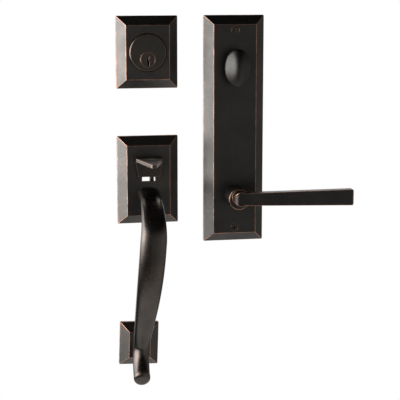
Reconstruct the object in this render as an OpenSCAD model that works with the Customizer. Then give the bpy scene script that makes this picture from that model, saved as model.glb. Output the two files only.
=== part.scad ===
// Entry door handleset: outside deadbolt, outside grip with thumbpiece, and inside plate
// with thumbturn and lever. X is to the right, Z is up and Y = 0 is the face of the door.
// Everything that faces the room or the street stands out towards -Y. Sizes are millimetres.
// Depths called t are counted outwards from the door face, so a negative t is in the door.
// Heights are counted from the latch axis, which runs between the grip plate's threaded posts.

/* [Plates] */
// Width of the three door plates
plate_w = 66; // [62:1:80]
// Height of the deadbolt plate
deadbolt_plate_h = 77; // [74:1:92]
// Height of the grip plate
grip_plate_h = 95.5; // [90:0.5:120]
// Height of the inside plate
inside_plate_h = 246.5; // [236:0.5:280]
// Depth of the plates from the door to their flat front
plate_depth = 11.7; // [11:0.1:15]
// Height of the straight side wall under the bevel
side_wall = 3; // [2:0.25:4]
// Width of the bevel, seen from the front
bevel_run = 9.7; // [7:0.1:10]
// Wall thickness of the cast plates
plate_wall = 2.3; // [1.6:0.1:2.6]
// Radius of the plates' outer corners
corner_r = 1.2; // [0.6:0.1:3]

/* [Layout] */
// Height of the plug's axis above the latch axis
plug_z = 139.7; // [134:0.1:160]
// Height of the grip plate's centre
grip_plate_z = 9.6; // [8.6:0.1:11]
// Distance from the outside plates' centre line to the inside plate's
inside_x = 94.5; // [88:0.5:130]
// Height of the inside plate's centre
inside_z = 62.3; // [58:0.1:66]
// Height of the lever axis
lever_z = -9.3; // [-12:0.1:-6]
// Distance from the lever axis up to the thumbturn axis
lock_spacing = 139.7; // [136:0.1:142]

/* [Fits] */
// Radial clearance of turning and sliding fits
run_fit = 0.05; // [0.03:0.01:0.1]
// Gap between faces that pass each other or bear on each other
face_fit = 0.3; // [0.2:0.05:0.4]

/* [Deadbolt cylinder] */
// Diameter of the round lock face
face_d = 39.6; // [36:0.2:40.4]
// Gap all round between the lock face and the plate
face_gap = 0.85; // [0.5:0.05:1.2]
// How far the lock face stands above the plate
face_rise = 2.1; // [1:0.1:4]
// Diameter of the flange that holds the plate
flange_d = 44; // [42:0.5:44.6]
// Thickness of that flange
flange_thick = 3; // [2:0.25:4]
// Distance from the middle of the lock face down to the plug
plug_drop = 7.2; // [6:0.1:8]
// Diameter of the plug
plug_d = 12.7; // [12:0.1:13]
// Diameter of the plug's front head
plug_head_d = 14.4; // [13.6:0.1:15]
// Thickness of the plug's front head
plug_head_thick = 1.4; // [1:0.1:2]
// Wall of the round housing round the plug
plug_wall = 2.4; // [1.8:0.1:3]
// How deep the plug housing reaches into the door
housing_back = 15; // [15:0.5:20]
// Width of the keyway
keyway_w = 2; // [1.6:0.1:2.4]
// Number of pin stacks
pin_count = 5; // [3:1:5]
// Distance between pin stacks
pin_pitch = 3.8; // [3.7:0.05:3.9]
// Diameter of the pins
pin_d = 2.9; // [2.6:0.1:3]
// Length of each driver pin
driver_len = 4.6; // [4:0.1:5]
// Height of the pin tower above the plug
tower_h = 12.4; // [11.5:0.1:13]
// Width of the pin tower
tower_w = 9.4; // [8:0.2:11]
// Wire of the pin springs
pin_spring_wire = 0.35; // [0.3:0.05:0.45]
// Width of the tailpiece blade
tail_w = 6.4; // [5.6:0.1:7]
// Thickness of the tailpiece blade
tail_thick = 2; // [1.6:0.1:2.4]
// How deep the tailpiece reaches into the door
tail_reach = 52; // [44:1:70]

/* [Bolt posts] */
// Diameter of the threaded posts
post_d = 9; // [8:0.25:10]
// Distance between the two deadbolt posts
deadbolt_post_spacing = 30; // [29.5:0.5:32]
// Distance between the two grip posts
grip_post_spacing = 36; // [34:0.5:38]
// How deep the posts reach into the door
post_reach = 12; // [8:0.5:14]
// Diameter of the tapped holes in the posts
post_hole_d = 4.2; // [3.8:0.1:4.6]
// Depth of the tapped holes
post_hole_depth = 14; // [10:0.5:15]

/* [Thumbpiece] */
// Width of the slot in the grip plate
slot_w = 14.4; // [14:0.2:16]
// Height of the slot
slot_h = 10.4; // [10:0.1:12]
// Half width of the pad where it leaves the web
pad_half_w = 14.6; // [12:0.2:15.6]
// Width of the pad's blunt nose
nose_w = 6.4; // [4:0.2:9]
// Half width of the web at its foot
web_half_w = 11.4; // [9:0.2:13]
// How far the pad stands out from the plate
pad_reach = 43; // [34:0.5:48]
// Height of the web and pad together
web_h = 21.2; // [19:0.2:28]
// Drop of the pad from the bend to its nose
pad_drop = 2.5; // [2:0.5:6]
// Length of the pad's full width in front of the bend
pad_shoulder = 5; // [2:0.5:8]
// Thickness of the pad and web
pad_thick = 3.6; // [3:0.1:4.4]
// Gap under the web's foot, through which the slot shows
slot_show = 5.4; // [5:0.1:5.8]
// Gap between web and plate
web_gap = 1; // [0.8:0.1:1.5]
// Outer radius of the bend
bend_r = 5.2; // [4.6:0.1:7]
// Depth of the scoop in the pad
scoop_depth = 1; // [0.4:0.1:1.6]
// Width of the scoop
scoop_w = 18; // [12:0.5:20]
// Diameter of the pivot pin
pivot_d = 3; // [2.5:0.1:3.4]
// Height of the pivot above the web's foot
pivot_rise = 1.6; // [1:0.1:2]
// Depth of the pivot in front of the door
pivot_t = 4.9; // [4.6:0.1:5.2]
// Diameter of the barrel on the pivot
barrel_d = 6.6; // [6:0.1:7]
// Thickness of the lifting tail
lift_thick = 4.2; // [2:0.1:4.2]
// Height of the lifting tail
lift_h = 5.4; // [4:0.1:6]
// How deep the lifting tail reaches into the door
lift_reach = 34; // [26:1:60]

/* [Grip] */
// Lean of the grip from upright, its foot towards -X
grip_lean = 3.8; // [0:0.1:5]
// Distance from the slot's lower edge down to the middle of the grip's root
root_drop = 14.4; // [14:0.1:16]
// How far the grip bulges out from the door
bulge_t = 65.6; // [55:0.2:80]
// Distance down from the root to the bulge
bulge_drop = 40; // [36:1:54]
// How far out the grip passes the lower rose
low_t = 22.4; // [22:0.2:28]
// Distance down from the root to the lower rose
foot_drop = 168.5; // [150:0.5:190]
// How far the tail of the grip ends in front of the door
tail_end_t = 43; // [38:0.5:50]
// How far the tail ends below the lower rose
tail_end_drop = 29; // [25:0.5:34]
// Angle of the tail's end face below level
tail_angle = 22; // [10:1:35]
// Height of the crown on the tail's end
end_crown = 2.2; // [1:0.1:4]
// Width of the grip at its root
root_w = 21; // [18:0.5:24]
// Width of the grip at the bulge
bulge_w = 28; // [22:0.5:32]
// Width and thickness of the grip at the foot
foot_w = 18; // [15:0.5:20]
// Thickness of the grip at the bulge
bulge_thick = 15; // [12:0.5:18]
// Thickness of the grip at its root
root_thick = 13.5; // [11:0.5:15]
// Diameter of the post behind the grip's foot
foot_post_d = 12; // [10:0.5:14]
// Diameter of the tapped holes in the grip
grip_hole_d = 5; // [4.2:0.1:5.6]
// How far the grip's screw reaches into its root
grip_screw_len = 12; // [8:0.5:14]
// Depth of the tapped hole in the foot
foot_hole_depth = 15; // [10:0.5:17]

/* [Lower rose] */
// Width of the lower rose
rose_w = 42.8; // [40:0.2:50]
// Height of the lower rose
rose_h = 48.4; // [44:0.2:56]
// Lean of the lower rose from upright, its foot towards -X
rose_lean = 2; // [0:0.1:5]

/* [Thumbturn] */
// Width of the oval thumbturn
turn_w = 27.4; // [22:0.2:30]
// Height of the oval thumbturn
turn_h = 39.6; // [34:0.2:48]
// Thickness of the thumbturn from back to front
turn_thick = 12.5; // [11:0.5:18]
// Height of its straight edge before the front rounds over
turn_edge = 3.5; // [2:0.5:5]
// How far the front falls back from its middle to its ends
turn_fall = 6; // [3:0.5:8]
// Slope of both sides where they meet in the crest
turn_crest = 10; // [6:1:14]
// Gap between thumbturn and plate
turn_gap = 11; // [5:0.2:15]
// Diameter of the thumbturn's stem
turn_stem_d = 14; // [12:0.5:16]
// Diameter of its neck in front of the plate
turn_neck_d = 18; // [17:0.5:20]

/* [Lever] */
// Diameter of the lever's hub
hub_d = 23.6; // [22:0.2:26]
// How far the hub stands out from the door
hub_t = 38.5; // [34:0.5:44]
// Length of the lever from its axis to its tip
lever_len = 123.5; // [100:0.5:130]
// Depth of the arm's middle in front of the door
arm_t = 46.8; // [45:0.2:56]
// Thickness of the arm
arm_thick = 9.6; // [8:0.2:12]
// Diameter of the round neck between hub and arm
neck_d = 15.4; // [13:0.2:17]
// Outer radius of the bend from the neck to the arm
neck_bend_r = 6; // [3:0.5:8]
// Height of the arm at its neck
arm_h = 13.2; // [11:0.2:15]
// Height of the arm at its tip
tip_h = 17.4; // [14:0.2:20]
// Rise of the arm's middle above the lever axis at the neck
arm_rise = 2; // [0:0.1:2.4]
// Rise of the arm's middle above the lever axis at the tip
tip_rise = 0.6; // [0:0.1:2]
// Radius of the hub's front edge
hub_edge = 1.6; // [0.6:0.1:2.4]
// Diameter of the shank in the plate
shank_d = 18; // [16:0.5:19]
// How far the set screw stands in front of the plate
set_screw_out = 15; // [11:0.5:18]
// Side of the square spindle
spindle_w = 7.6; // [6:0.1:8]
// How deep the spindle reaches into the door
spindle_reach = 46; // [30:1:60]
// Diameter of the spring cage
cage_d = 40; // [38:0.5:41]
// Wire of the lever spring
lever_spring_wire = 1.6; // [1.2:0.1:1.8]

/* [Plate screws] */
// Distance between the two plate screws
screw_spacing = 214.8; // [200:0.2:218]
// Diameter of the screw heads
screw_head_d = 8.4; // [7.6:0.1:9]
// Diameter of the screw shanks
screw_d = 4.2; // [3.6:0.1:4.6]
// Length of the screws, head included
screw_len = 32; // [25:1:45]

/* [Hidden] */
$fn = 48;
eps = 0.01;

// depths shared by the plates
roof_t = plate_depth - plate_wall;
face_t = plate_depth + face_rise;
flange_t = roof_t - face_fit;
flange_back_t = flange_t - flange_thick;
run_d = 2 * run_fit;

// deadbolt cylinder
deadbolt_z = plug_z + plug_drop;
housing_d = plug_d + 2 * plug_wall;
plug_back = housing_back + 3;
first_pin_t = flange_back_t - pin_d / 2 - 0.9;
cover_w = pin_d + 1.3;
cover_thick = 1;
cover_front_t = flange_back_t - 0.5;
cover_len = housing_back + cover_front_t - 0.7;
cover_low = plug_d / 2 + tower_h - cover_thick;
driver_low = plug_d / 2 + 0.1;
spring_low = driver_low + driver_len + 0.05;
spring_high = cover_low - 0.05;
key_heights = [3.4, 4.3, 2.7, 3.9, 3.1, 4.1];
clip_t = -housing_back - run_d;

// thumbpiece, counted up from the lower edge of its slot
slot_low = grip_plate_z - 0.6;
slot_high = slot_low + slot_h;
web_low = slot_low + slot_show;
pad_top = web_low + web_h;
pivot_z = web_low + pivot_rise;
web_t = plate_depth + web_gap;
pad_t = plate_depth + pad_reach;
barrel_x = slot_w / 2 - 0.9;
lug_x = barrel_x + face_fit;
lug_thick = 3.4;
lift_x = 2;
lift_low = pivot_z - lift_h / 2;
lift_high = pivot_z + lift_h / 2;
shelf_z = lift_high + 8;
shelf_back = 4;
shelf_thick = 2;
thumb_spring_t = -shelf_back / 2 + 1;
thumb_spring_d = 4;
thumb_spring_wire = 0.6;

// grip: the plane of the S leans about the middle of its root
root_z = slot_low - root_drop;

// lever and thumbturn
turn_z = lever_z + lock_spacing;
turn_t = plate_depth + turn_gap;
hub_back_t = plate_depth + face_fit;
sheet = 1;
cage_back_t = 2;
cage_ear_t = roof_t - 4.4;
cage_screw_z = cage_d / 2 + 4;
cage_screw_d = 2.5;
cam_thick = 1.8;
cam_t = cage_back_t - face_fit;
cam_back_t = cam_t - cam_thick;
shank_back = cam_back_t - 2.4;
shank_flat = shank_d / 2 - 1.2;
tab_depth = 2.2;
tab_w = 4;
lug_wall = 1.2;
lug_low_r = cage_d / 2 - sheet - tab_depth - face_fit - lug_wall;
lever_coil_r = lug_low_r - face_fit - lever_spring_wire / 2;
lever_coil_depth = 4.2;
leg_len = 3.6;
leg_angle = asin((tab_w / 2 + lever_spring_wire / 2 + 0.2) / lever_coil_r);
turn_boss_t = roof_t - 2.5;
turn_washer_t = turn_boss_t - 0.8;
turn_clip_t = turn_washer_t - 1.2;
turn_back = 2;
set_screw_d = 4.2;
set_screw_t = plate_depth + set_screw_out;
neck_shift = 0.3;
neck_back_x = 3;
arm_edge = 1.5;
tip_slim = 0.8;
screw_room = 20;
ear_w = 10;

// cylinder along the depth, from depth t0 out to depth t1
module rod(d, t0, t1) {
    translate([0, -t0, 0]) rotate([90, 0, 0]) cylinder(h = t1 - t0, d = d);
}

// front view shape, drawn in X and Z, given the depth from t0 out to t1
module front_shape(t0, t1) {
    translate([0, -t0, 0]) rotate([90, 0, 0]) linear_extrude(t1 - t0) children();
}

// side view shape, drawn in Y and Z, extruded along X from x0 to x1
module side_shape(x0, x1) {
    translate([x0, 0, 0]) rotate([90, 0, 90]) linear_extrude(x1 - x0) children();
}

// plan view shape, drawn in X and Y, extruded along Z from z0 to z1
module plan_shape(z0, z1) {
    translate([0, 0, z0]) linear_extrude(z1 - z0) children();
}

// rectangle with round corners, centred
module round_rect(w, h, r) {
    square([w - 2 * r, h], center = true);
    square([w, h - 2 * r], center = true);
    for (x = [-1, 1], y = [-1, 1])
        translate([x * (w / 2 - r), y * (h / 2 - r)]) circle(r);
}

// turned part about the depth axis; the profile is drawn as radius and depth
module turned(profile) {
    rotate([90, 0, 0]) rotate_extrude() polygon(profile);
}

// coil of round wire about the Z axis
function coil_ring(r, wire_r, z, a, along, sides) = let(out = [cos(a), sin(a), 0], side = [-sin(a), cos(a), 0])
    [for (k = [0:sides - 1]) let(b = k * 360 / sides)
        r * out + [0, 0, z] + wire_r * (cos(b) * (along[0] * out + along[1] * side) + sin(b) * [0, 0, 1])];
function coil_rings(mean_r, wire_r, height, turns, steps, sides) =
    let(count = ceil(turns * steps))
    [for (i = [0:count]) coil_ring(mean_r, wire_r, height * i / count, i * 360 * turns / count, [1, 0], sides)];
module coil(mean_r, wire_r, height, turns, steps = 10, sides = 6) {
    skin(coil_rings(mean_r, wire_r, height, turns, steps, sides));
}

// closed skin over rings of equally many points, with flat ends
module skin(rings) {
    n = len(rings[0]);
    m = len(rings);
    points = [for (ring = rings) each ring];
    sides = [for (i = [0:m - 2], k = [0:n - 1]) let(a = i * n + k, b = i * n + (k + 1) % n)
        each [[a, b, b + n], [a, b + n, a + n]]];
    polyhedron(points, concat(sides,
        [[for (k = [n - 1:-1:0]) k]], [[for (k = [0:n - 1]) (m - 1) * n + k]]));
}

// power curve of an oval: exponent 2 is an ellipse, more is squarer
function power(v, e) = sign(v) * pow(abs(v), 2 / e);
function oval(half_w, half_h, e, n) =
    [for (k = [0:n - 1]) [half_w * power(cos(360 * k / n), e), half_h * power(sin(360 * k / n), e)]];

// cubic curve through its four points, and its direction
function bezier(p, u) = pow(1 - u, 3) * p[0] + 3 * u * pow(1 - u, 2) * p[1]
    + 3 * u * u * (1 - u) * p[2] + pow(u, 3) * p[3];
function bezier_dir(p, u) = 3 * pow(1 - u, 2) * (p[1] - p[0]) + 6 * u * (1 - u) * (p[2] - p[1])
    + 3 * u * u * (p[3] - p[2]);
function smooth(u) = u * u * (3 - 2 * u);

// half of the plate's profile: door edge, top of the side wall, edge of the flat front
function bevel_profile(half) =
    [[half, 0], [half, -side_wall], [half - bevel_run, -plate_depth]];

// the same for the pocket behind, one wall thickness inside
function pocket_profile(half) =
    let(rise = plate_depth - side_wall,
        slant = norm([bevel_run, rise]),
        inset = plate_wall * slant / rise,
        knee_t = side_wall - (inset - plate_wall) * rise / bevel_run,
        top_half = half - inset - bevel_run * (roof_t - side_wall) / rise)
    [[half - plate_wall, eps], [half - plate_wall, -knee_t], [top_half, -roof_t]];

// full profile from its right half
function both_sides(p) = concat(p, [for (i = [len(p) - 1:-1:0]) [-p[i][0], p[i][1]]]);

module bevelled_shape(w, h) {
    intersection() {
        plan_shape(-h / 2 - 1, h / 2 + 1) polygon(both_sides(bevel_profile(w / 2)));
        side_shape(-w / 2 - 1, w / 2 + 1) polygon([for (p = both_sides(bevel_profile(h / 2))) [p[1], p[0]]]);
        front_shape(-1, plate_depth + 1) round_rect(w, h, corner_r);
    }
}

module pocket_shape(w, h) {
    intersection() {
        plan_shape(-h / 2, h / 2) polygon(both_sides(pocket_profile(w / 2)));
        side_shape(-w / 2, w / 2) polygon([for (p = both_sides(pocket_profile(h / 2))) [p[1], p[0]]]);
    }
}

module hollow_plate(w, h) {
    difference() {
        bevelled_shape(w, h);
        pocket_shape(w, h);
    }
}

module at_deadbolt() { translate([0, 0, deadbolt_z]) children(); }
module at_plug() { translate([0, 0, plug_z]) children(); }
function pin_t(i) = first_pin_t - i * pin_pitch;

module deadbolt_plate() color("#3a3733") at_deadbolt() difference() {
    hollow_plate(plate_w, deadbolt_plate_h);
    rod(face_d + 2 * face_gap, roof_t - 1, plate_depth + 1);
}

module cylinder_housing() color("#413c37") at_deadbolt() difference() {
    union() {
        turned([[0, flange_back_t], [flange_d / 2, flange_back_t], [flange_d / 2, flange_t],
            [face_d / 2, flange_t], [face_d / 2, face_t - 0.8], [face_d / 2 - 0.8, face_t], [0, face_t]]);
        translate([0, 0, -plug_drop]) {
            rod(housing_d, -housing_back, flange_back_t + 1);
            rod(plug_head_d + 2.2, face_t - 1, face_t + 0.5);
            translate([-tower_w / 2, -flange_back_t - 1, 0])
                cube([tower_w, housing_back + flange_back_t + 1, plug_d / 2 + tower_h]);
        }
        for (s = [-1, 1]) translate([s * deadbolt_post_spacing / 2, 0, 0])
            rod(post_d, -post_reach, flange_back_t + 1);
    }
    translate([0, 0, -plug_drop]) {
        rod(plug_d + run_d, -housing_back - 1, face_t + 1);
        rod(plug_head_d + run_d, face_t - plug_head_thick - face_fit, face_t + 1);
        for (i = [0:pin_count - 1]) translate([0, -pin_t(i), 0])
            cylinder(h = plug_d / 2 + tower_h + 1, d = pin_d + run_d);
        translate([-cover_w / 2 - run_fit, -cover_front_t - run_fit, cover_low])
            cube([cover_w + run_d, cover_len + run_d, cover_thick + 1]);
    }
    for (s = [-1, 1]) translate([s * deadbolt_post_spacing / 2, 0, 0])
        rod(post_hole_d, -post_reach - 1, -post_reach + post_hole_depth);
}

// wavy keyway, open at the bottom of the plug
module keyway_shape() {
    top = plug_d * 0.26;
    w = keyway_w / 2;
    polygon([[-w, top], [w, top], [w, top - 2.2], [w - 0.5, top - 2.9], [w - 0.5, top - 4.6], [w + 0.3, top - 5.4],
        [w + 0.3, -plug_d], [-w + 0.3, -plug_d], [-w + 0.3, top - 6.4], [-w - 0.5, top - 5.6],
        [-w - 0.5, top - 3.9], [-w, top - 3.2]]);
}

module cylinder_plug() color("#4a443d") at_plug() difference() {
    union() {
        rod(plug_d, -plug_back, face_t - 0.5);
        rod(plug_head_d, face_t - plug_head_thick, face_t + 0.2);
    }
    front_shape(-housing_back + 1, face_t + 1) keyway_shape();
    for (i = [0:pin_count - 1]) translate([0, -pin_t(i), 0])
        cylinder(h = plug_d, d = pin_d + run_d);
    // groove of the clip and slot of the tailpiece
    difference() {
        rod(plug_d + 1, clip_t - 1.2, clip_t);
        rod(plug_d - 1.8, clip_t - 1.3, clip_t + 0.1);
    }
    front_shape(-plug_back - 1, -housing_back + 0.8) square([tail_w + run_d, tail_thick + run_d], center = true);
}

module key_pins() color("#b8924a") at_plug()
    for (i = [0:pin_count - 1]) translate([0, -pin_t(i), 0]) rotate_extrude(convexity = 4)
        polygon([[0, plug_d / 2 - 0.25 - key_heights[i]], [pin_d / 2, plug_d / 2 - 0.25 - key_heights[i] + 0.8],
            [pin_d / 2, plug_d / 2 - 0.25], [0, plug_d / 2 - 0.25]]);

module driver_pins() color("#a7a49c") at_plug()
    for (i = [0:pin_count - 1]) translate([0, -pin_t(i), driver_low])
        cylinder(h = driver_len, d = pin_d);

module pin_springs() color("#c9c9c4") at_plug()
    for (i = [0:pin_count - 1]) translate([0, -pin_t(i), spring_low + pin_spring_wire / 2])
        coil(pin_d / 2 - pin_spring_wire / 2 - 0.12, pin_spring_wire / 2,
            spring_high - spring_low - pin_spring_wire, 5, 7, 5);

module chamber_cover() color("#b8924a") at_plug()
    translate([-cover_w / 2, -cover_front_t, cover_low]) cube([cover_w, cover_len, cover_thick]);

// open ring that snaps into a groove
module snap_ring(inner_d, outer_d, t0, t1, gap) {
    difference() {
        rod(outer_d, t0, t1);
        rod(inner_d, t0 - 1, t1 + 1);
        front_shape(t0 - 1, t1 + 1) translate([-gap / 2, -outer_d]) square([gap, outer_d]);
    }
}

module plug_clip() color("#8d8d88") at_plug()
    snap_ring(plug_d - 1.6, plug_d + 3.2, clip_t - 1.1, clip_t - 0.1, plug_d * 0.6);

module deadbolt_tailpiece() color("#9a958c") at_plug()
    front_shape(-tail_reach, -housing_back + 0.8 - run_fit) square([tail_w, tail_thick], center = true);

module grip_plate() color("#3a3733") difference() {
    union() {
        translate([0, 0, grip_plate_z]) hollow_plate(plate_w, grip_plate_h);
        // lugs of the thumbpiece's pivot
        for (s = [0, 1]) mirror([s, 0, 0]) side_shape(lug_x, lug_x + lug_thick) {
            translate([-roof_t - 0.5, pivot_z - barrel_d / 2]) square([roof_t + 0.5 - pivot_t, barrel_d]);
            translate([-pivot_t, pivot_z]) circle(d = barrel_d);
        }
        // shelf that the thumbpiece's spring pushes on
        translate([lift_x - 2, -roof_t - 0.5, shelf_z])
            cube([lift_thick + 4, roof_t + 0.5 + shelf_back, shelf_thick]);
        for (s = [-1, 1]) translate([s * grip_post_spacing / 2, 0, 0])
            rod(post_d, -post_reach, roof_t + 0.5);
    }
    translate([-slot_w / 2, -plate_depth - 1, slot_low]) cube([slot_w, plate_wall + 2, slot_h]);
    translate([-lug_x - lug_thick - 1, -pivot_t, pivot_z]) rotate([0, 90, 0])
        cylinder(h = 2 * (lug_x + lug_thick + 1), d = pivot_d + run_d);
    translate([0, 0, root_z]) rod(grip_hole_d + 1.6, roof_t - 1, plate_depth + 1);
    for (s = [-1, 1]) translate([s * grip_post_spacing / 2, 0, 0])
        rod(post_hole_d, -post_reach - 1, -post_reach + post_hole_depth);
}

// side view of the goose-neck: web beside the plate, bend and pad
module neck_profile() {
    c = [web_t + bend_r, pad_top - bend_r];
    outer = [for (a = [180:-10:90]) c + bend_r * [cos(a), sin(a)]];
    inner = [for (a = [90:15:180]) c + (bend_r - pad_thick) * [cos(a), sin(a)]];
    nose = pad_top - pad_drop;
    points = concat([[web_t, web_low]], outer, [[pad_t, nose], [pad_t, nose - pad_thick]], inner,
        [[web_t + pad_thick, web_low]]);
    polygon([for (p = points) [-p[0], p[1]]]);
}

// plan of the pad: full width at the bend, then straight sides to a blunt nose
module pad_plan() {
    nose_r = 1.6;
    nose = [for (a = [0:15:180]) [nose_w / 2 * cos(a), -pad_t + nose_r - nose_r * sin(a)]];
    shoulder_t = web_t + bend_r + pad_shoulder;
    polygon(concat([[-pad_half_w, -web_t + 1], [pad_half_w, -web_t + 1], [pad_half_w, -shoulder_t]],
        nose, [[-pad_half_w, -shoulder_t]]));
}

module thumbpiece() color("#4b443c") {
    scoop_r = (scoop_w * scoop_w / 4 + scoop_depth * scoop_depth) / (2 * scoop_depth);
    pad_len = pad_t - web_t - bend_r;
    scoop_at = 0.36;
    difference() {
        union() {
            intersection() {
                side_shape(-pad_half_w - 1, pad_half_w + 1) neck_profile();
                plan_shape(web_low - 1, pad_top + 1) pad_plan();
                front_shape(web_t - 1, pad_t + 1) polygon([[-web_half_w, web_low], [web_half_w, web_low],
                    [pad_half_w, pad_top - bend_r], [pad_half_w, pad_top + 1],
                    [-pad_half_w, pad_top + 1], [-pad_half_w, pad_top - bend_r]]);
            }
            // neck through the slot, and barrel
            side_shape(-barrel_x, barrel_x) {
                polygon([[-web_t - 1, web_low], [-web_t - 1, slot_high - 1.4],
                    [-pivot_t, pivot_z + barrel_d / 2], [-pivot_t, pivot_z]]);
                translate([-pivot_t, pivot_z]) circle(d = barrel_d);
            }
            // tail that lifts the latch
            side_shape(lift_x, lift_x + lift_thick) polygon([[-pivot_t - 2.6, pivot_z], [-pivot_t - 2.4, slot_low - 1.6],
                [-pivot_t + 2.2, slot_low - 1.6], [-pivot_t + 5.5, lift_low], [lift_reach, lift_low],
                [lift_reach + 1.5, lift_low + 1.5], [lift_reach + 1.5, lift_high - 1.5], [lift_reach, lift_high],
                [-pivot_t, lift_high]]);
        }
        translate([-barrel_x - 1, -pivot_t, pivot_z]) rotate([0, 90, 0])
            cylinder(h = 2 * barrel_x + 2, d = pivot_d + run_d);
        translate([0, -web_t - bend_r - scoop_at * pad_len, pad_top - scoop_at * pad_drop])
            rotate([atan(pad_drop / pad_len), 0, 0])
                translate([0, 0, scoop_r - scoop_depth]) sphere(scoop_r, $fn = 96);
    }
}

module thumb_pivot_pin() color("#8d8d88") translate([0, -pivot_t, pivot_z]) rotate([0, 90, 0]) {
    end = lug_x + lug_thick + face_fit;
    translate([0, 0, -end]) cylinder(h = 2 * end, d = pivot_d);
    translate([0, 0, -end - 0.9]) cylinder(h = 0.9, d = pivot_d + 1.8);
}

module thumb_spring() color("#c9c9c4")
    translate([lift_x + lift_thick / 2, -thumb_spring_t, lift_high + 0.1 + thumb_spring_wire / 2])
        coil((thumb_spring_d - thumb_spring_wire) / 2, thumb_spring_wire / 2,
            shelf_z - lift_high - 0.2 - thumb_spring_wire, 6, 9, 6);

// leaning frame of the grip, from the middle of its root
module at_grip() { translate([0, 0, root_z]) rotate([0, grip_lean, 0]) children(); }
module at_foot() { at_grip() translate([0, 0, -foot_drop]) children(); }

// centre line of the grip as depth and height, in three curves: neck, S and tail
function grip_curves() =
    let(fall = foot_drop - bulge_drop, end = [tail_end_t, -foot_drop - tail_end_drop])
    [[[plate_depth, 0], [plate_depth + 0.36 * (bulge_t - plate_depth), 0],
      [bulge_t, -0.42 * bulge_drop], [bulge_t, -bulge_drop]],
     [[bulge_t, -bulge_drop], [bulge_t, -bulge_drop - 0.5 * fall],
      [low_t, -foot_drop + 0.14 * fall], [low_t, -foot_drop]],
     [[low_t, -foot_drop], [low_t, -foot_drop - 0.44 * tail_end_drop],
      end - 8 * [cos(tail_angle), -sin(tail_angle)], end]];

// width, thickness and squareness along each curve
function grip_size(part, u) =
    part == 0 ? [root_w + (bulge_w - root_w) * u + 3 * pow(max(0, 1 - 4 * u), 2),
        root_thick + (bulge_thick - root_thick) * u + 2 * pow(max(0, 1 - 4 * u), 2), 2.4 + 0.8 * u]
    : part == 1 ? [bulge_w + (foot_w - bulge_w) * smooth(max(0, (u - 0.1) / 0.9)),
        bulge_thick + (foot_w - bulge_thick) * smooth(u), 3.2 - 1.2 * smooth(u)]
    : [foot_w, foot_w, 2];

function grip_ring(part, u, inset = 0, n = 32) =
    let(curve = grip_curves()[part], c = bezier(curve, u), d = bezier_dir(curve, u),
        dir = d / norm(d), size = grip_size(part, u))
    [for (p = oval(size[0] / 2 - inset, size[1] / 2 - inset, size[2], n))
        [p[0], -c[0] - p[1] * dir[1], c[1] - p[1] * dir[0]]];

// ring of the crowned end; s goes from its rim to its middle
function end_ring(s) =
    let(curve = grip_curves()[2], d = bezier_dir(curve, 1), out = d / norm(d),
        lift = end_crown * (1 - pow(1 - s, 2)))
    [for (p = grip_ring(2, 1, s * foot_w / 2)) p + lift * [0, -out[0], out[1]]];

module grip_handle() color("#4b443c") at_grip() difference() {
    union() {
        skin(concat([for (i = [0:12]) grip_ring(0, i / 12)],
            [for (i = [1:18]) grip_ring(1, i / 18)],
            [for (i = [1:9]) grip_ring(2, i / 9)],
            [for (s = [0.2, 0.45, 0.7, 0.88]) end_ring(s)]));
        translate([0, 0, -foot_drop]) rod(foot_post_d, 1, low_t);
    }
    rod(grip_hole_d, plate_depth - 1, plate_depth + grip_screw_len + 2);
    translate([0, 0, -foot_drop]) rod(grip_hole_d, 0, foot_hole_depth + 1);
}

module grip_screw() color("#8d8d88") translate([0, 0, root_z]) difference() {
    union() {
        rod(grip_hole_d + 5, roof_t - 4.6, roof_t - 1.2);
        rod(grip_hole_d - run_d, roof_t - 2, plate_depth + grip_screw_len);
    }
    translate([0, -roof_t + 4.7, 0]) rotate([90, 0, 0]) cylinder(h = 2.4, d = grip_hole_d, $fn = 6);
}

module grip_washer() color("#a7a49c") translate([0, 0, root_z]) difference() {
    rod(grip_hole_d + 7, roof_t - 1.2, roof_t);
    rod(grip_hole_d + 0.8, roof_t - 2, roof_t + 1);
}

module lower_rose() color("#3a3733") at_foot() rotate([0, rose_lean - grip_lean, 0]) difference() {
    hollow_plate(rose_w, rose_h);
    rod(foot_post_d + 2 * face_fit, roof_t - 1, plate_depth + 1);
}

module rose_push_nut() color("#8d8d88") at_foot() difference() {
    rod(foot_post_d + 6, roof_t - 0.8, roof_t);
    rod(foot_post_d + run_d, roof_t - 2, roof_t + 1);
    for (a = [0:60:300]) front_shape(roof_t - 2, roof_t + 1) rotate(a)
        translate([foot_post_d / 2 - 1, -0.6]) square([2.2, 1.2]);
}

module at_turn() { translate([inside_x, 0, turn_z]) children(); }
module at_lever() { translate([inside_x, 0, lever_z]) children(); }
module at_screws() { for (s = [-1, 1]) translate([inside_x, 0, inside_z + s * screw_spacing / 2]) children(); }

// countersunk head and shank, larger all round by gap
module screw_body(gap, len) {
    cone = (screw_head_d - screw_d) / 2;
    turned([[0, plate_depth - len], [0.3 + gap, plate_depth - len], [screw_d / 2 + gap, plate_depth - len + 6],
        [screw_d / 2 + gap, plate_depth - cone - 0.3], [screw_head_d / 2 + gap, plate_depth - 0.3],
        [screw_head_d / 2 + gap, plate_depth], [0, plate_depth]]);
}

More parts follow.
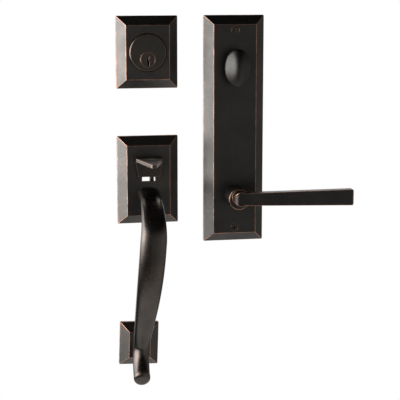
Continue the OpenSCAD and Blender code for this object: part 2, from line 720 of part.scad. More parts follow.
module inside_plate() color("#2f2d2a") difference() {
    union() {
        translate([inside_x, 0, inside_z]) hollow_plate(plate_w, inside_plate_h);
        at_screws() rod(screw_head_d + 2, 0, roof_t + 0.5);
        at_turn() rod(turn_stem_d + 7, turn_boss_t, roof_t + 0.5);
        for (s = [-1, 1]) at_lever() translate([0, 0, s * cage_screw_z])
            rod(cage_screw_d + 4.5, cage_ear_t, roof_t + 0.5);
    }
    at_screws() {
        screw_body(run_fit, screw_len + screw_room);
        rod(screw_d + run_d, -1, plate_depth - 2);
        rod(screw_head_d + run_d, plate_depth - eps, plate_depth + 1);
    }
    at_turn() rod(turn_stem_d + run_d, turn_boss_t - 1, plate_depth + 1);
    at_lever() rod(shank_d + run_d, roof_t - 1, plate_depth + 1);
    for (s = [-1, 1]) at_lever() translate([0, 0, s * cage_screw_z])
        rod(cage_screw_d, cage_ear_t - 1, roof_t + 1);
}

module plate_screws() color("#57493b") at_screws() difference() {
    screw_body(0, screw_len);
    for (a = [0, 90]) front_shape(plate_depth - 2.6, plate_depth + 1) rotate(a)
        square([screw_head_d * 0.46, 1], center = true);
    rod(screw_head_d * 0.22, plate_depth - 3, plate_depth + 1);
}

// round bar along the height that shapes one flank of the thumbturn
module turn_flank(x, r, crest_t) {
    translate([x, r * cos(turn_crest) - crest_t, -turn_h]) cylinder(h = 2 * turn_h, r = r, $fn = 96);
}

// pillow with an oval outline: two curved flanks meet in an upright crest
module thumbturn() color("#45403a") at_turn() difference() {
    half = turn_w / 2;
    rise = turn_thick - turn_edge;
    flank_r = (half * half + rise * rise) / (2 * (rise * cos(turn_crest) - half * sin(turn_crest)));
    end_r = (turn_h * turn_h / 4 + turn_fall * turn_fall) / (2 * turn_fall);
    crest_t = turn_t + turn_thick;
    union() {
        intersection() {
            front_shape(turn_t, crest_t + 1) polygon(oval(half, turn_h / 2, 2.1, 72));
            turn_flank(-flank_r * sin(turn_crest), flank_r, crest_t);
            turn_flank(flank_r * sin(turn_crest), flank_r, crest_t);
            translate([-turn_w, end_r - crest_t, 0]) rotate([0, 90, 0]) cylinder(h = 2 * turn_w, r = end_r, $fn = 96);
        }
        rod(turn_stem_d, -turn_back, turn_t + 1);
        rod(turn_neck_d, hub_back_t, turn_t + 1);
    }
    difference() {
        rod(turn_stem_d + 1, turn_clip_t, turn_washer_t - run_fit);
        rod(turn_stem_d - 1.8, turn_clip_t - 1, turn_washer_t + 1);
    }
    front_shape(-turn_back - 1, 10) square([tail_w + 0.4, tail_thick + 0.4], center = true);
}

module turn_washer() color("#a7a49c") at_turn() difference() {
    rod(turn_stem_d + 6, turn_washer_t, turn_boss_t - run_fit);
    rod(turn_stem_d + 0.4, turn_washer_t - 1, turn_boss_t + 1);
}

module turn_clip() color("#8d8d88") at_turn()
    snap_ring(turn_stem_d - 1.6, turn_stem_d + 5, turn_clip_t + 0.1, turn_washer_t - 0.1, turn_stem_d * 0.6);

// shank with two flats, drawn in the front view
module shank_shape(gap) {
    intersection() {
        circle(d = shank_d + 2 * gap);
        square([2 * (shank_flat + gap), shank_d + 2], center = true);
    }
}

// plan of the arm: out of the hub, round the bend and along to the tip
module arm_plan() {
    left = -neck_d / 2 - neck_shift;
    front = arm_t + arm_thick / 2;
    back = arm_t - arm_thick / 2;
    tip_front = front - tip_slim / 2;
    tip_back = back + tip_slim / 2;
    inner_r = 1.5;
    bend = [for (a = [180:-7.5:90])
        [left + neck_bend_r + neck_bend_r * cos(a), front - neck_bend_r + neck_bend_r * sin(a)]];
    tip = [for (a = [90:-15:0]) [lever_len - arm_edge + arm_edge * cos(a), tip_front - arm_edge + arm_edge * sin(a)]];
    inner = [for (a = [90:15:180])
        [neck_back_x + inner_r + inner_r * cos(a), back - inner_r + inner_r * sin(a)]];
    points = concat([[left, hub_t - 1]], bend, tip, [[lever_len, tip_back]], inner, [[neck_back_x, hub_t - 1]]);
    polygon([for (p = points) [p[0], -p[1]]]);
}

// front view of the arm: round at the neck, growing towards the tip
module arm_front() {
    translate([-neck_shift, arm_rise]) circle(d = neck_d, $fn = 64);
    polygon([[-neck_shift, arm_rise - arm_h / 2], [lever_len - arm_edge, tip_rise - tip_h / 2],
        [lever_len, tip_rise - tip_h / 2 + arm_edge], [lever_len, tip_rise + tip_h / 2 - arm_edge],
        [lever_len - arm_edge, tip_rise + tip_h / 2], [-neck_shift, arm_rise + arm_h / 2]]);
}

module lever() color("#45403a") at_lever() difference() {
    union() {
        intersection() {
            plan_shape(-neck_d, neck_d) arm_plan();
            front_shape(hub_t - 1, arm_t + arm_thick) arm_front();
        }
        turned(concat([[0, hub_back_t], [hub_d / 2 - 0.8, hub_back_t], [hub_d / 2, hub_back_t + 0.8]],
            [for (a = [0:15:90]) [hub_d / 2 - hub_edge + hub_edge * cos(a), hub_t - hub_edge + hub_edge * sin(a)]],
            [[0, hub_t]]));
        rod(shank_d, roof_t - sheet - face_fit, hub_back_t + 1);
        front_shape(shank_back, roof_t) shank_shape(0);
    }
    front_shape(shank_back - 1, hub_t - 8) square(spindle_w + 0.3, center = true);
    difference() {
        rod(shank_d + 1, cam_back_t - 1.2, cam_back_t);
        rod(shank_d - 2.6, cam_back_t - 2, cam_back_t + 1);
    }
    translate([0, -set_screw_t, -hub_d]) cylinder(h = hub_d, d = set_screw_d);
}

module lever_set_screw() color("#57493b") at_lever() translate([0, -set_screw_t, -hub_d / 2 + 1]) difference() {
    cylinder(h = hub_d / 2 - 1 - spindle_w / 2 - 0.05, d = set_screw_d - run_d);
    translate([0, 0, -1]) cylinder(h = 3, d = set_screw_d * 0.5, $fn = 6);
}

module spindle() color("#9a958c") at_lever()
    front_shape(-spindle_reach, hub_t - 8.5) square(spindle_w, center = true);

module spring_cage() color("#8d8d88") at_lever() difference() {
    union() {
        rod(cage_d, cage_back_t, roof_t);
        front_shape(cage_ear_t - sheet, cage_ear_t)
            round_rect(ear_w, 2 * cage_screw_z + ear_w - 1, 3);
    }
    difference() {
        rod(cage_d - 2 * sheet, cage_back_t - 1, roof_t - sheet);
        front_shape(cage_back_t, roof_t) translate([-tab_w / 2, -cage_d / 2]) square([tab_w, tab_depth + sheet]);
    }
    rod(shank_d + 2, cage_back_t, roof_t + 1);
    for (s = [-1, 1]) translate([0, 0, s * cage_screw_z]) rod(cage_screw_d + 0.5, cage_back_t, roof_t);
}

module cage_screws() color("#8d8d88") at_lever() for (s = [-1, 1]) translate([0, 0, s * cage_screw_z])
    difference() {
        union() {
            rod(cage_screw_d + 3, cage_ear_t - sheet - 1.8, cage_ear_t - sheet);
            rod(cage_screw_d - run_d, cage_ear_t - sheet - 1, roof_t + 0.6);
        }
        front_shape(cage_ear_t - sheet - 2, cage_ear_t - sheet - 0.9) square([cage_screw_d + 4, 0.8], center = true);
    }

// torsion spring with two legs that stand out beside the tab
module lever_spring() color("#c9c9c4") at_lever() {
    wire_r = lever_spring_wire / 2;
    turns = 2 - 2 * leg_angle / 360;
    start = roof_t - sheet - face_fit - wire_r - lever_coil_depth;
    sides = 8;
    inner = coil_rings(lever_coil_r, wire_r, lever_coil_depth, turns, 18, sides);
    last = turns * 360;
    translate([0, -start, 0]) rotate([90, 0, 0]) rotate(-90 + leg_angle)
        skin(concat([coil_ring(lever_coil_r + leg_len, wire_r, 0, 0, [0, 1], sides),
                coil_ring(lever_coil_r, wire_r, 0, 0, [1, 1], sides)],
            [for (i = [1:len(inner) - 2]) inner[i]],
            [coil_ring(lever_coil_r, wire_r, lever_coil_depth, last, [1, -1], sides),
                coil_ring(lever_coil_r + leg_len, wire_r, lever_coil_depth, last, [0, -1], sides)]));
}

module drive_cam() color("#9a958c") at_lever() difference() {
    union() {
        rod(cage_d - 3, cam_back_t, cam_t);
        front_shape(cam_back_t, roof_t - sheet - 2 * face_fit) translate([-tab_w / 2, -lug_low_r - lug_wall])
            square([tab_w, lug_wall]);
    }
    front_shape(cam_back_t - 1, cam_t + 3) shank_shape(run_fit);
}

module lever_ring() color("#8d8d88") at_lever()
    snap_ring(shank_d - 2.4, shank_d + 5, cam_back_t - 1.1, cam_back_t - 0.1, shank_d * 0.6);

deadbolt_plate();
cylinder_housing();
cylinder_plug();
key_pins();
driver_pins();
pin_springs();
chamber_cover();
plug_clip();
deadbolt_tailpiece();
grip_plate();
thumbpiece();
thumb_pivot_pin();
thumb_spring();
grip_handle();
grip_screw();
grip_washer();
lower_rose();
rose_push_nut();
inside_plate();
plate_screws();
thumbturn();
turn_washer();
turn_clip();
lever();
lever_set_screw();
spindle();
spring_cage();
cage_screws();
lever_spring();
drive_cam();
lever_ring();
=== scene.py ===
import math

import bpy
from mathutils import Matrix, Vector


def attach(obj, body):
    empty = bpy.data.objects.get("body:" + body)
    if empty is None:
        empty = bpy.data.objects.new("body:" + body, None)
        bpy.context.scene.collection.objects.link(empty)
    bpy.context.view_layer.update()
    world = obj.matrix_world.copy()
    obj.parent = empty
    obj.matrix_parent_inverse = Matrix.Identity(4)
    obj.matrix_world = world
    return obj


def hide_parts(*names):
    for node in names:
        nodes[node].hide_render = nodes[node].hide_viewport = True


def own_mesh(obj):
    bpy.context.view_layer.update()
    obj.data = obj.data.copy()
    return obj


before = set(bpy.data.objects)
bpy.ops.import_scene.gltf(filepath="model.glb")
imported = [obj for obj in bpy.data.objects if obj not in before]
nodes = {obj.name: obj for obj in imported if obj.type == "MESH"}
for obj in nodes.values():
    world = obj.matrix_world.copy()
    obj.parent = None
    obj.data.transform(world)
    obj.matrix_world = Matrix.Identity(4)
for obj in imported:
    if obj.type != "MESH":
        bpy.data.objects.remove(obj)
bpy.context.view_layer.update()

MM = 0.001

# Main sizes of the part, in millimetres. Depths called t are counted outwards from the door.
PLATE_DEPTH = 11.7

# Grip: its root, the bulge under the root, the foot in front of the lower rose, and the tail below the foot
GRIP_LEAN, ROOT_Z = 3.8, -5.4
BULGE_T, BULGE_DROP = 65.6, 40
LOW_T, FOOT_DROP = 22.4, 168.5
TAIL_END_T, TAIL_END_DROP, TAIL_ANGLE = 43, 29, 22
ROOT_W, BULGE_W, FOOT_W = 21, 28, 18
ROOT_THICK, BULGE_THICK = 13.5, 15
ROOT_SQUARE, BULGE_SQUARE, FOOT_SQUARE = 2.4, 2.5, 2
FLARE_W, FLARE_THICK = 3, 2
END_CROWN, SHOULDER, SHOULDER_SQUARE = 2.2, 2, 2.5
# Reach of the curves' handles: shares of the depth or height that they run along, and millimetres at the end
ROOT_PULL, OVER_PULL, UNDER_PULL, FOOT_PULL, TAIL_PULL, END_PULL = 0.36, 0.42, 0.5, 0.14, 0.44, 8
POST_D, POST_BACK, POST_EDGE = 12, 1, 0.5
GRIP_HOLE_D, GRIP_HOLE_EDGE, GRIP_HOLE_SHORT = 5, 0.4, 6

# Thumbturn: its middle and back, the oval, the stem with its neck and clip groove, and the tailpiece's slot
TURN_X, TURN_Z, TURN_T = 94.5, 130.4, PLATE_DEPTH + 11
TURN_W, TURN_H, TURN_THICK, TURN_SQUARE = 27.4, 39.6, 12.5, 2.1
TURN_FALL, TURN_ROLL, TURN_SLOPE, TURN_BACK_EDGE = 6, 6.5, 0.9, 0.7
STEM_D, STEM_STEP_T, STEM_BACK, STEM_EDGE = 14, 12, 2, 0.5
NECK_D, NECK_INTO_KNOB = 18, 0.5
CLIP_T, CLIP_DEEP, CLIP_WIDE = 4.9, 0.9, 1.1
TAIL_W, TAIL_THICK, TAIL_ROOM_T = 6.8, 2.4, 10

# Points round a section, steps along a curve, and the angle in degrees from which an edge is sharp
ROUND_COUNT, TURN_COUNT = 64, 96
GRIP_STEPS, TAIL_STEPS, TURN_STEPS = 40, 30, 24
SHARP = 35


# Curves and lofts

def power(value, exponent):
    return math.copysign(abs(value) ** (2 / exponent), value)


def round_angles(count):
    return [2 * math.pi * k / count for k in range(count)]


def oval(half_w, half_h, exponent, count):
    """Points round an oval; exponent 2 is an ellipse and more is squarer."""
    return [(half_w * power(math.cos(a), exponent), half_h * power(math.sin(a), exponent))
            for a in round_angles(count)]


def bezier(p, u):
    """Point and unit direction on a cubic curve with four 2D points."""
    weights = ((1 - u) ** 3, 3 * u * (1 - u) ** 2, 3 * u * u * (1 - u), u ** 3)
    point = [sum(w * q[i] for w, q in zip(weights, p)) for i in (0, 1)]
    steps = (3 * (1 - u) ** 2, 6 * u * (1 - u), 3 * u * u)
    way = [sum(w * (p[j + 1][i] - p[j][i]) for j, w in enumerate(steps)) for i in (0, 1)]
    length = math.hypot(*way)
    return point, (way[0] / length, way[1] / length)


def smooth(u):
    return u * u * (3 - 2 * u)


def skin(name, shells):
    """Mesh object from shells; each is a list of rings of (x, t, z) in millimetres, closed at its ends."""
    verts, faces = [], []
    for rings in shells:
        n, base = len(rings[0]), len(verts)
        for ring in rings:
            verts += [(x * MM, -t * MM, z * MM) for x, t, z in ring]
        for i in range(len(rings) - 1):
            for k in range(n):
                a, b = base + i * n + k, base + i * n + (k + 1) % n
                faces.append((a, b, b + n, a + n))
        last = base + (len(rings) - 1) * n
        faces.append(tuple(base + k for k in reversed(range(n))))
        faces.append(tuple(last + k for k in range(n)))
    mesh = bpy.data.meshes.new(name)
    mesh.from_pydata(verts, [], faces)
    mesh.shade_smooth()
    mesh.set_sharp_from_angle(angle=math.radians(SHARP))
    piece = bpy.data.objects.new(name, mesh)
    bpy.context.scene.collection.objects.link(piece)
    return piece


def turned_rings(profile, x0=0, z0=0):
    """Rings of a turned shape about the depth axis through (x0, z0); the profile is (radius, t)."""
    return [[(x0 + r * math.cos(a), t, z0 + r * math.sin(a)) for a in round_angles(ROUND_COUNT)]
            for r, t in profile]


def as_piece(piece, body, material, replaced):
    """Puts a smooth piece in the place of a CAD node."""
    piece.data.materials.append(material)
    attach(piece, body)
    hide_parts(replaced)


# Materials

COPPER = (0.62, 0.31, 0.2)
CALM_WEAR = 0.12


class Shader:
    """A node material under construction."""

    def __init__(self, name):
        self.material = bpy.data.materials.new(name)
        self.material.use_nodes = True
        self.tree = self.material.node_tree
        self.surface = self.tree.nodes["Principled BSDF"]
        self.place = self.node("ShaderNodeTexCoord").outputs["Object"]

    def node(self, kind, **settings):
        made = self.tree.nodes.new(kind)
        for key, value in settings.items():
            setattr(made, key, value)
        return made

    def link(self, source, target):
        self.tree.links.new(source, target)

    def noise(self, scale, detail):
        """Cloudy value between 0 and 1; the scale is counted per metre."""
        made = self.node("ShaderNodeTexNoise")
        made.inputs["Scale"].default_value = scale
        made.inputs["Detail"].default_value = detail
        self.link(self.place, made.inputs["Vector"])
        return made.outputs["Fac"]

    def spread(self, value, low, high, to_low=0.0, to_high=1.0):
        """Stretches low..high of a value to to_low..to_high, without going past them."""
        made = self.node("ShaderNodeMapRange")
        for key, number in zip(("From Min", "From Max", "To Min", "To Max"), (low, high, to_low, to_high)):
            made.inputs[key].default_value = number
        self.link(value, made.inputs["Value"])
        return made.outputs["Result"]

    def maths(self, operation, a, b):
        """Result of a maths node; a and b are numbers or sockets."""
        made = self.node("ShaderNodeMath", operation=operation)
        for socket, value in zip(made.inputs, (a, b)):
            if isinstance(value, (int, float)):
                socket.default_value = value
            else:
                self.link(value, socket)
        return made.outputs["Value"]

    def times(self, a, b):
        return self.maths("MULTIPLY", a, b)

    def mix(self, factor, a, b):
        """Colour mix; a and b are colours or sockets."""
        made = self.node("ShaderNodeMix", data_type="RGBA")
        self.link(factor, made.inputs["Factor"])
        for socket, value in zip((made.inputs[6], made.inputs[7]), (a, b)):
            if isinstance(value, tuple):
                socket.default_value = (*value, 1)
            else:
                self.link(value, socket)
        return made.outputs[2]

    def axes(self):
        """X, Y and Z of the place on the object."""
        made = self.node("ShaderNodeSeparateXYZ")
        self.link(self.place, made.inputs["Vector"])
        return made.outputs

    def rounded(self, radius):
        """Normal that turns over at the edges."""
        bevel = self.node("ShaderNodeBevel", samples=6)
        bevel.inputs["Radius"].default_value = radius
        return bevel.outputs["Normal"]

    def turn(self, normal):
        """How far a rounded normal turns from the surface: 0 on flats and more on sharp edges."""
        dot = self.node("ShaderNodeVectorMath", operation="DOT_PRODUCT")
        self.link(normal, dot.inputs[0])
        self.link(self.node("ShaderNodeNewGeometry").outputs["Normal"], dot.inputs[1])
        return self.maths("SUBTRACT", 1.0, dot.outputs["Value"])

    def outside(self, x, z, half_w, half_h):
        """1 outside a box seen from the front and CALM_WEAR inside it, with a narrow step between."""
        axes = self.axes()
        shares = []
        for axis, middle, half in (("X", x, half_w), ("Z", z, half_h)):
            away = self.maths("ABSOLUTE", self.maths("SUBTRACT", axes[axis], middle), 0.0)
            shares.append(self.maths("DIVIDE", away, half))
        return self.spread(self.maths("MAXIMUM", *shares), 0.98, 1.0, CALM_WEAR, 1.0)

    def bump(self, height, strength, distance, normal):
        made = self.node("ShaderNodeBump")
        made.inputs["Strength"].default_value = strength
        made.inputs["Distance"].default_value = distance
        self.link(height, made.inputs["Height"])
        self.link(normal, made.inputs["Normal"])
        self.link(made.outputs["Normal"], self.surface.inputs["Normal"])

    def metal(self, colour, roughness):
        """Makes the surface a metal with these two sockets."""
        self.link(colour, self.surface.inputs["Base Color"])
        self.link(roughness, self.surface.inputs["Roughness"])
        self.surface.inputs["Metallic"].default_value = 1.0


def bronze(name, dark, warm, wear, rough=(0.3, 0.42), calm=(), round_off=0.0006):
    """Oil-rubbed bronze: a dark skin, cloudy brown tones, and bright metal worn through along the edges.

    Inside the calm boxes, (x, z, half width, half height) in metres, the edges are hardly worn.
    """
    shader = Shader(name)
    cloud = shader.noise(45, 5)
    fine = shader.noise(520, 3)
    skin_colour = shader.mix(shader.spread(cloud, 0.35, 0.7), dark, warm)
    turn = shader.turn(shader.rounded(0.001))
    patchy = shader.spread(shader.noise(130, 4), 0.3, 0.6, 0.35, 1.0)
    worn = shader.times(shader.times(shader.spread(turn, 0.002, 0.02), patchy), wear)
    for box in calm:
        worn = shader.times(worn, shader.outside(*box))
    shader.metal(shader.mix(worn, skin_colour, COPPER), shader.spread(fine, 0.3, 0.7, *rough))
    shader.bump(shader.noise(900, 2), 0.1, 0.00004, shader.rounded(round_off))
    return shader.material


def bare_metal(name, colour, dull):
    """Plated steel or brass with faint tool marks and duller patches."""
    shader = Shader(name)
    marks = shader.noise(300, 5)
    patches = shader.spread(shader.noise(90, 4), 0.35, 0.7)
    shader.metal(shader.mix(patches, colour, dull), shader.spread(marks, 0.3, 0.7, 0.25, 0.45))
    shader.bump(marks, 0.2, 0.00004, shader.rounded(0.0003))
    return shader.material


# The flat fronts of the plates, (x, z, half width, half height) in metres
DEADBOLT_FLAT = (0, 0.1469, 0.022, 0.0275)
GRIP_FLAT = (0, 0.0096, 0.022, 0.0367)
INSIDE_FLAT = (0.0945, 0.0623, 0.022, 0.1122)

outside_bronze = bronze("outside_bronze", (0.064, 0.062, 0.058), (0.084, 0.077, 0.071), wear=1.0,
                        calm=(DEADBOLT_FLAT, GRIP_FLAT))
inside_bronze = bronze("inside_bronze", (0.05, 0.05, 0.047), (0.064, 0.06, 0.056), wear=0.9,
                       calm=(INSIDE_FLAT,))
lever_bronze = bronze("lever_bronze", (0.038, 0.036, 0.034), (0.05, 0.045, 0.042), wear=0.9)
turn_bronze = bronze("turn_bronze", (0.04, 0.04, 0.037), (0.05, 0.047, 0.043), wear=0.12,
                     rough=(0.34, 0.44))
lock_bronze = bronze("lock_bronze", (0.064, 0.062, 0.056), (0.084, 0.076, 0.068), wear=0.25)
hand_bronze = bronze("hand_bronze", (0.068, 0.062, 0.056), (0.094, 0.08, 0.07), wear=0.3,
                     rough=(0.26, 0.33), round_off=0.0003)
screw_bronze = bronze("screw_bronze", (0.045, 0.044, 0.04), (0.07, 0.064, 0.056), wear=0.1)
plated = bare_metal("plated_steel", (0.56, 0.56, 0.54), (0.4, 0.4, 0.38))
spring_wire = bare_metal("spring_wire", (0.62, 0.62, 0.6), (0.5, 0.5, 0.48))
yellow_brass = bare_metal("yellow_brass", (0.72, 0.53, 0.27), (0.5, 0.36, 0.18))

# The CAD grip and thumbturn aren't here, because smooth pieces stand for them
CAD_LOOKS = {
    outside_bronze: ["deadbolt_plate", "grip_plate", "lower_rose"],
    lock_bronze: ["cylinder_housing", "cylinder_plug"],
    hand_bronze: ["thumbpiece"],
    inside_bronze: ["inside_plate"],
    lever_bronze: ["lever"],
    screw_bronze: ["plate_screws", "lever_set_screw"],
    plated: ["plug_clip", "deadbolt_tailpiece", "thumb_pivot_pin", "grip_screw", "grip_washer",
             "rose_push_nut", "turn_washer", "turn_clip", "spindle", "spring_cage", "cage_screws",
             "drive_cam", "lever_ring"],
    spring_wire: ["pin_springs", "thumb_spring", "lever_spring"],
    yellow_brass: ["key_pins", "driver_pins", "chamber_cover"],
}
for look, names in CAD_LOOKS.items():
    for node_name in names:
        node = nodes[node_name]
        node.data.materials.clear()
        node.data.materials.append(look)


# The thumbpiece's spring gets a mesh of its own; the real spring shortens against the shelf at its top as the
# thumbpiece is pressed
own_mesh(nodes["thumb_spring"])


# Grip: three curves in depth and height, leaning about the middle of the root

def grip_curves():
    """Curves from the root over the bulge, from the bulge down to the foot, and from the foot to the end."""
    reach = BULGE_T - PLATE_DEPTH
    fall = FOOT_DROP - BULGE_DROP
    tilt = math.radians(TAIL_ANGLE)
    root, bulge, foot = (PLATE_DEPTH, 0), (BULGE_T, -BULGE_DROP), (LOW_T, -FOOT_DROP)
    end = (TAIL_END_T, -FOOT_DROP - TAIL_END_DROP)
    return (
        (root, (PLATE_DEPTH + ROOT_PULL * reach, 0), (BULGE_T, -OVER_PULL * BULGE_DROP), bulge),
        (bulge, (BULGE_T, -BULGE_DROP - UNDER_PULL * fall), (LOW_T, -FOOT_DROP + FOOT_PULL * fall), foot),
        (foot, (LOW_T, -FOOT_DROP - TAIL_PULL * TAIL_END_DROP),
         (end[0] - END_PULL * math.cos(tilt), end[1] + END_PULL * math.sin(tilt)), end),
    )


def grip_size(part, u):
    """Width, thickness and squareness of the grip's section at u along one of the three curves.

    The root flares over the first quarter, and the width starts to fall a tenth of the way below the bulge.
    """
    if part == 0:
        flare = max(0, 1 - 4 * u) ** 2
        return (ROOT_W + (BULGE_W - ROOT_W) * u + FLARE_W * flare,
                ROOT_THICK + (BULGE_THICK - ROOT_THICK) * u + FLARE_THICK * flare,
                ROOT_SQUARE + (BULGE_SQUARE - ROOT_SQUARE) * u)
    if part == 1:
        return (BULGE_W + (FOOT_W - BULGE_W) * smooth(max(0, (u - 0.1) / 0.9)),
                BULGE_THICK + (FOOT_W - BULGE_THICK) * smooth(u),
                BULGE_SQUARE + (FOOT_SQUARE - BULGE_SQUARE) * smooth(u))
    return FOOT_W, FOOT_W, FOOT_SQUARE


def leaned(x, t, z):
    """Place on the leaning grip, from one that is counted from the middle of its root."""
    a = math.radians(GRIP_LEAN)
    return x * math.cos(a) + z * math.sin(a), t, ROOT_Z - x * math.sin(a) + z * math.cos(a)


def grip_ring(part, u, inset=0.0):
    (t, z), (dt, dz) = bezier(grip_curves()[part], u)
    width, thick, exponent = grip_size(part, u)
    section = oval(width / 2 - inset, thick / 2 - inset, exponent, ROUND_COUNT)
    return [leaned(x, t + y * dz, z - y * dt) for x, y in section]


def end_ring(s):
    """Ring of the end, which has a rounded shoulder and a low crown; s goes from its rim to its middle."""
    _, (dt, dz) = bezier(grip_curves()[2], 1)
    rise = (1 - (1 - s) ** SHOULDER_SQUARE) ** (1 / SHOULDER_SQUARE)
    lift = (END_CROWN + SHOULDER) * rise - SHOULDER
    a = math.radians(GRIP_LEAN)
    return [(x + lift * dz * math.sin(a), t + lift * dt, z + lift * dz * math.cos(a))
            for x, t, z in grip_ring(2, 1, s * FOOT_W / 2)]


def make_grip():
    """Grip from its root to the crowned end, and the hollow post behind its foot."""
    rings = [grip_ring(part, i / GRIP_STEPS) for part in (0, 1) for i in range(GRIP_STEPS)]
    rings += [grip_ring(2, i / TAIL_STEPS) for i in range(TAIL_STEPS - 1)]
    rings += [end_ring(s) for s in (0, 0.008, 0.025, 0.05, 0.09, 0.15, 0.23, 0.33, 0.45, 0.6, 0.75, 0.9)]
    wall, hole = POST_D / 2, GRIP_HOLE_D / 2
    profile = [(hole, LOW_T - GRIP_HOLE_SHORT), (hole, POST_BACK + GRIP_HOLE_EDGE),
               (hole + GRIP_HOLE_EDGE, POST_BACK), (wall - POST_EDGE, POST_BACK),
               (wall, POST_BACK + POST_EDGE), (wall, LOW_T)]
    post = [[leaned(x, t, z - FOOT_DROP) for x, t, z in ring] for ring in turned_rings(profile)]
    return skin("grip", [rings, post])


as_piece(make_grip(), "fixed", hand_bronze, "grip_handle")


# Thumbturn: an oval whose two straight flanks roll over into a soft upright crest

def turn_front(x, z):
    """Depth of the thumbturn's front at (x, z) from its middle."""
    away = abs(x)
    side = TURN_SLOPE * (away * away / (2 * TURN_ROLL) if away < TURN_ROLL else away - TURN_ROLL / 2)
    return TURN_T + TURN_THICK - side - TURN_FALL * (2 * z / TURN_H) ** 2


def turn_ring(s, drop=0.0, t=None):
    """Oval ring at the share s of the outline, at a drop below the front or at the depth t."""
    ring = [(s * x, s * z) for x, z in oval(TURN_W / 2, TURN_H / 2, TURN_SQUARE, TURN_COUNT)]
    return [(TURN_X + x, turn_front(x, z) - drop if t is None else t, TURN_Z + z) for x, z in ring]


def slot_ring(t):
    """Ring round the tailpiece's slot, with its points in line with those of a turned ring."""
    ring = []
    for a in round_angles(ROUND_COUNT):
        c, s = math.cos(a), math.sin(a)
        reach = min(TAIL_W / 2 / max(abs(c), 1e-6), TAIL_THICK / 2 / max(abs(s), 1e-6))
        ring.append((TURN_X + reach * c, t, TURN_Z + reach * s))
    return ring


def make_thumbturn():
    """Knob from its back round the rounded rim to its middle, and the stem behind it."""
    knob = [turn_ring(0.9, t=TURN_T), turn_ring(0.97, t=TURN_T), turn_ring(1, t=TURN_T + TURN_BACK_EDGE)]
    rounded_rim = ((1, 0.9), (0.994, 0.45), (0.978, 0.15), (0.955, 0.03), (0.93, 0))
    knob += [turn_ring(s, drop) for s, drop in rounded_rim]
    knob += [turn_ring(i / TURN_STEPS) for i in range(TURN_STEPS - 3, 0, -1)]
    wall, neck, groove = STEM_D / 2, NECK_D / 2, STEM_D / 2 - CLIP_DEEP
    profile = [(wall - STEM_EDGE, -STEM_BACK), (wall, STEM_EDGE - STEM_BACK), (wall, CLIP_T),
               (groove, CLIP_T), (groove, CLIP_T + CLIP_WIDE), (wall, CLIP_T + CLIP_WIDE),
               (wall, STEM_STEP_T), (neck, STEM_STEP_T), (neck, TURN_T + NECK_INTO_KNOB)]
    stem = [slot_ring(TAIL_ROOM_T), slot_ring(-STEM_BACK)] + turned_rings(profile, TURN_X, TURN_Z)
    return skin("thumbturn_smooth", [knob, stem])


as_piece(make_thumbturn(), "thumbturn", turn_bronze, "thumbturn")


# Light, backdrop and camera, in metres and degrees. Azimuths are counted from the front, to the right.

MIDDLE_X = 0.05
WHITE_ON_DULL = 0.55
FLOOR_Z, FLOOR_RADIUS, FLOOR_GLOW = -0.95, 0.95, 0.2
TENT_RADIUS, TENT_BACK, TENT_ROWS, TENT_COLUMNS = 2.4, 0.75, 24, 48
# Glow of the tent: beside the softbox at its brightest, in the dark opening, at the front and on the right
HALO, GAP, FRONT, SIDE = 3.8, 0.03, 0.34, 0.6


def direction(azimuth, elevation):
    a, e = math.radians(azimuth), math.radians(elevation)
    return Vector((math.sin(a) * math.cos(e), -math.cos(a) * math.cos(e), math.sin(e)))


def place_at(name, data, target, way, distance):
    """Puts a lamp or camera at a distance from the target, facing it."""
    placed = bpy.data.objects.new(name, data)
    placed.location = Vector(target) + way * distance
    placed.rotation_euler = way.to_track_quat("Z", "Y").to_euler()
    bpy.context.scene.collection.objects.link(placed)
    return placed


def tent_cloth():
    """Glowing cloth: bright beside the softbox, a dark opening left of the front, grey to the right of it."""
    shader = Shader("tent")
    axes = shader.axes()
    front = shader.times(axes["Y"], -1.0)
    azimuth = shader.times(shader.maths("ARCTAN2", axes["X"], front), 180 / math.pi)
    height = shader.maths("DIVIDE", axes["Z"], TENT_RADIUS)
    halo = shader.maths("POWER", shader.spread(azimuth, -12, -47), 1.2)
    halo = shader.times(halo, shader.spread(azimuth, -110, -90, 0.0, HALO))
    halo = shader.times(halo, shader.spread(height, 0.45, 0.6, 1.0, 0.0))
    halo = shader.times(halo, shader.spread(height, -0.32, -0.2))
    grey = shader.spread(azimuth, -3, 12, GAP, FRONT)
    grey = shader.maths("ADD", grey, shader.spread(azimuth, 14, 40, 0.0, SIDE - FRONT))
    grey = shader.times(grey, shader.spread(azimuth, 75, 125, 1.0, 0.25))
    grey = shader.times(grey, shader.spread(height, 0.1, 0.5, 1.0, 0.03))
    glow = shader.node("ShaderNodeEmission")
    glow.inputs["Color"].default_value = (1.0, 0.975, 0.95, 1)
    shader.link(shader.maths("ADD", halo, grey), glow.inputs["Strength"])
    shader.link(glow.outputs["Emission"], shader.tree.nodes["Material Output"].inputs["Surface"])
    return shader.material


def seen_by_camera_or_metal(tree):
    """1 for camera, glossy and transmission rays, 0 for the rays that light dull surfaces."""
    path = tree.nodes.new("ShaderNodeLightPath")
    total = path.outputs["Is Camera Ray"]
    for name in ("Is Glossy Ray", "Is Transmission Ray"):
        either = tree.nodes.new("ShaderNodeMath")
        either.operation = "MAXIMUM"
        tree.links.new(total, either.inputs[0])
        tree.links.new(path.outputs[name], either.inputs[1])
        total = either.outputs["Value"]
    return total


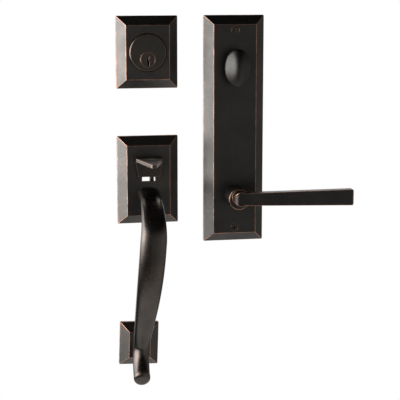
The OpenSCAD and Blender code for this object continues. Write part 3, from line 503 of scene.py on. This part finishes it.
def make_world():
    """White all round, which lights dull surfaces less than it shows."""
    world = bpy.data.worlds.new("studio")
    bpy.context.scene.world = world
    world.use_nodes = True
    tree = world.node_tree
    background = tree.nodes["Background"]
    background.inputs["Color"].default_value = (1, 1, 1, 1)
    level = tree.nodes.new("ShaderNodeMapRange")
    level.inputs["To Min"].default_value = WHITE_ON_DULL
    level.inputs["To Max"].default_value = 1.0
    tree.links.new(seen_by_camera_or_metal(tree), level.inputs["Value"])
    tree.links.new(level.outputs["Result"], background.inputs["Strength"])


def make_floor():
    """Plain pale floor far below the set, a little brighter to the camera and in reflections."""
    bpy.ops.mesh.primitive_circle_add(vertices=96, radius=FLOOR_RADIUS, fill_type="NGON",
                                      location=(MIDDLE_X, 0, FLOOR_Z))
    floor = bpy.context.object
    floor.name = "floor"
    material = bpy.data.materials.new("floor")
    material.use_nodes = True
    tree = material.node_tree
    dull = tree.nodes["Principled BSDF"]
    dull.inputs["Base Color"].default_value = (0.85, 0.85, 0.85, 1)
    dull.inputs["Roughness"].default_value = 0.9
    glow = tree.nodes.new("ShaderNodeEmission")
    mix = tree.nodes.new("ShaderNodeMixShader")
    share = tree.nodes.new("ShaderNodeMath")
    share.operation = "MULTIPLY"
    share.inputs[1].default_value = FLOOR_GLOW
    tree.links.new(seen_by_camera_or_metal(tree), share.inputs[0])
    tree.links.new(share.outputs["Value"], mix.inputs["Fac"])
    tree.links.new(dull.outputs["BSDF"], mix.inputs[1])
    tree.links.new(glow.outputs["Emission"], mix.inputs[2])
    tree.links.new(mix.outputs["Shader"], tree.nodes["Material Output"].inputs["Surface"])
    floor.data.materials.append(material)


def make_tent():
    """Ball of cloth round the front of the set, open behind, which only reflections see."""
    start = math.asin(TENT_BACK)
    verts, faces = [], []
    for i in range(TENT_ROWS + 1):
        a = start + (-math.pi / 2 - start) * i / TENT_ROWS
        for b in round_angles(TENT_COLUMNS):
            verts.append((TENT_RADIUS * math.cos(a) * math.cos(b), TENT_RADIUS * math.sin(a),
                          TENT_RADIUS * math.cos(a) * math.sin(b)))
    for i in range(TENT_ROWS):
        for k in range(TENT_COLUMNS):
            p, q = i * TENT_COLUMNS + k, i * TENT_COLUMNS + (k + 1) % TENT_COLUMNS
            faces.append((p, q, q + TENT_COLUMNS, p + TENT_COLUMNS))
    mesh = bpy.data.meshes.new("tent")
    mesh.from_pydata(verts, [], faces)
    mesh.materials.append(tent_cloth())
    tent = bpy.data.objects.new("tent", mesh)
    bpy.context.scene.collection.objects.link(tent)
    tent.visible_camera = False
    tent.visible_diffuse = False
    tent.visible_transmission = False
    tent.visible_shadow = False


def area_light(name, azimuth, elevation, distance, width, height, radiance, target, colour):
    """Softbox that faces the target."""
    lamp = bpy.data.lights.new(name, "AREA")
    lamp.shape = "RECTANGLE"
    lamp.size, lamp.size_y = width, height
    lamp.energy = radiance * math.pi * width * height
    lamp.color = colour
    place_at(name, lamp, target, direction(azimuth, elevation), distance)


def make_camera():
    """Camera of the photograph, worked out from the edges of the plates."""
    data = bpy.data.cameras.new("camera")
    data.lens, data.sensor_width = 113.55, 36
    aim, azimuth, elevation, distance = (0.0582, 0.0, -0.0156), -10.3, 10.27, 1.3854
    bpy.context.scene.camera = place_at("camera", data, aim, direction(azimuth, elevation), distance)


make_world()
make_floor()
make_tent()
area_light("softbox_left", azimuth=-90, elevation=0, distance=1.25, width=2.3, height=1.2, radiance=4.4,
           target=(MIDDLE_X, -0.02, 0.33), colour=(0.99, 0.965, 1.0))
area_light("hair_light", azimuth=0, elevation=133, distance=1.1, width=1.4, height=0.5, radiance=3.0,
           target=(MIDDLE_X, 0.0, 0.06), colour=(1.0, 0.93, 0.86))
make_camera()
bpy.context.scene.view_settings.view_transform = "Standard"
